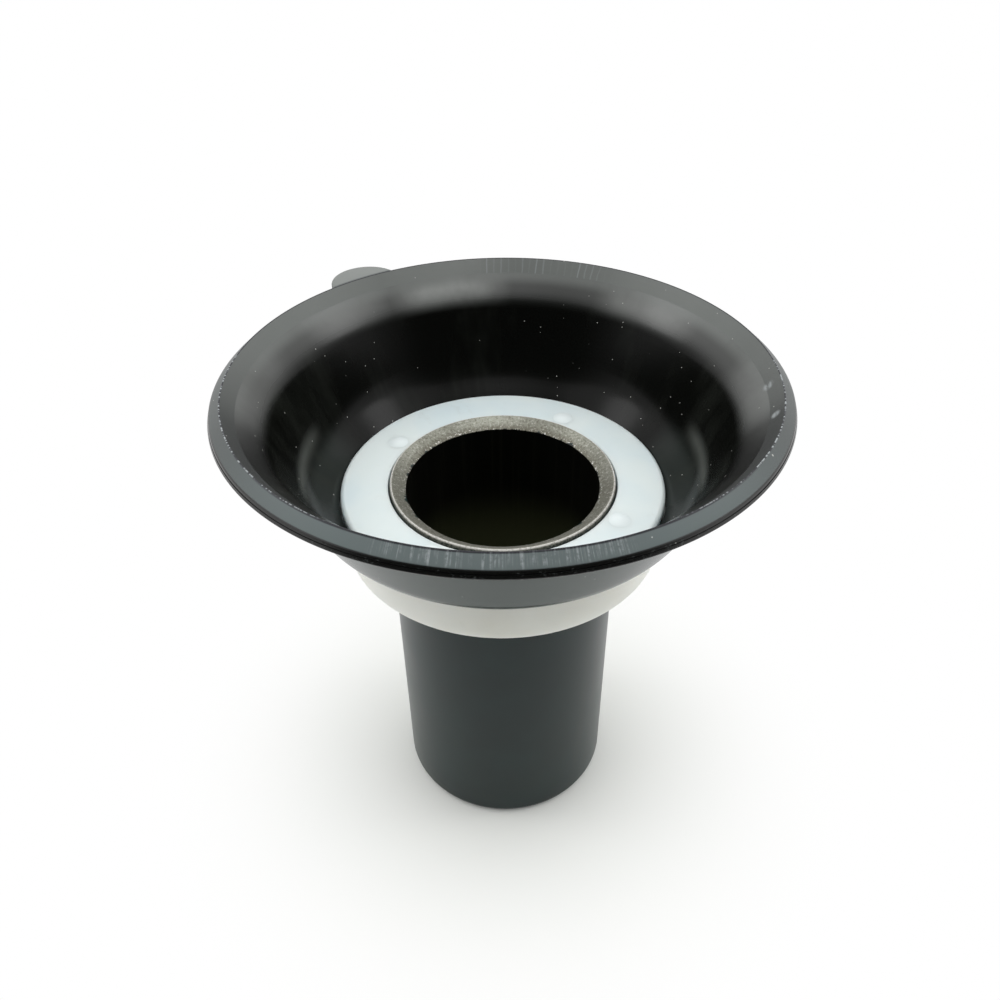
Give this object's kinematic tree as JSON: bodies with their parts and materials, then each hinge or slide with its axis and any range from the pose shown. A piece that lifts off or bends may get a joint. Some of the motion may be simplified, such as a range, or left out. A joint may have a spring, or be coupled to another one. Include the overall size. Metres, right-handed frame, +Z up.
{
  "type": "carburettor diaphragm",
  "caption": "vacuum slide of a constant-velocity carburettor: black rubber cup with a bead and an ear, held between nylon rings on a dark hollow aluminium slide",
  "frame": {"origin": "on the slide's axis, in the plane of its foot", "axes": "+Z runs up the slide's axis, from the foot to the rubber rim; the rim's ear lies at 126.6 degrees from +X towards +Y"},
  "size_m": [0.0542, 0.0542, 0.0542],
  "materials": {
    "slide": "dark hard-anodised, satin",
    "rubber": "black, satin gloss",
    "upper_ring": "milky bluish nylon",
    "lower_ring": "natural nylon"
  },
  "bodies": {
    "root": {"slide": "slide", "diaphragm": "rubber", "upper_clamp_ring": "upper_ring", "lower_clamp_ring": "lower_ring"}
  },
  "joints": []
}
